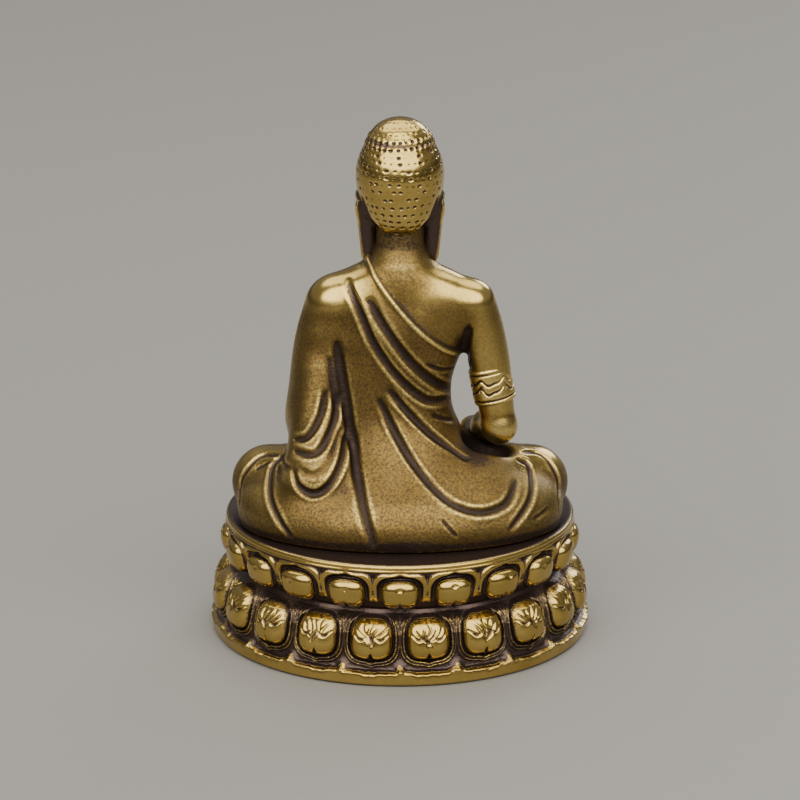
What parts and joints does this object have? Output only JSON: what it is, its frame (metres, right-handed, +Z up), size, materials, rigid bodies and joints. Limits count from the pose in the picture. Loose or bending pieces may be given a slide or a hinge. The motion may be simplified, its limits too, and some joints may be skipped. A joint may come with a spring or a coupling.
{
  "type": "buddha statue",
  "caption": "Seated Buddha statuette in antique brass, right hand reaching down over the shin, on a round double lotus throne.",
  "frame": {"origin": "centre of the foot of the throne, on the surface that it stands on", "axes": "+Z up through the head, -Y the way the figure faces, -X its right hand"},
  "size_m": [0.06, 0.06, 0.0844],
  "materials": {
    "antique_brass": "worn, polished on the high places and dark brown in the recesses",
    "copper_plate": "hammered and tarnished",
    "bright_screw": "turned"
  },
  "bodies": {
    "root": {"lotus_base": "antique_brass", "base_plate": "copper_plate", "figure_body": "antique_brass", "head": "antique_brass", "right_forearm": "antique_brass", "armlet": "antique_brass", "left_hand": "antique_brass", "fixing_screws": "bright_screw", "fixing_washers": "bright_screw"}
  },
  "joints": []
}
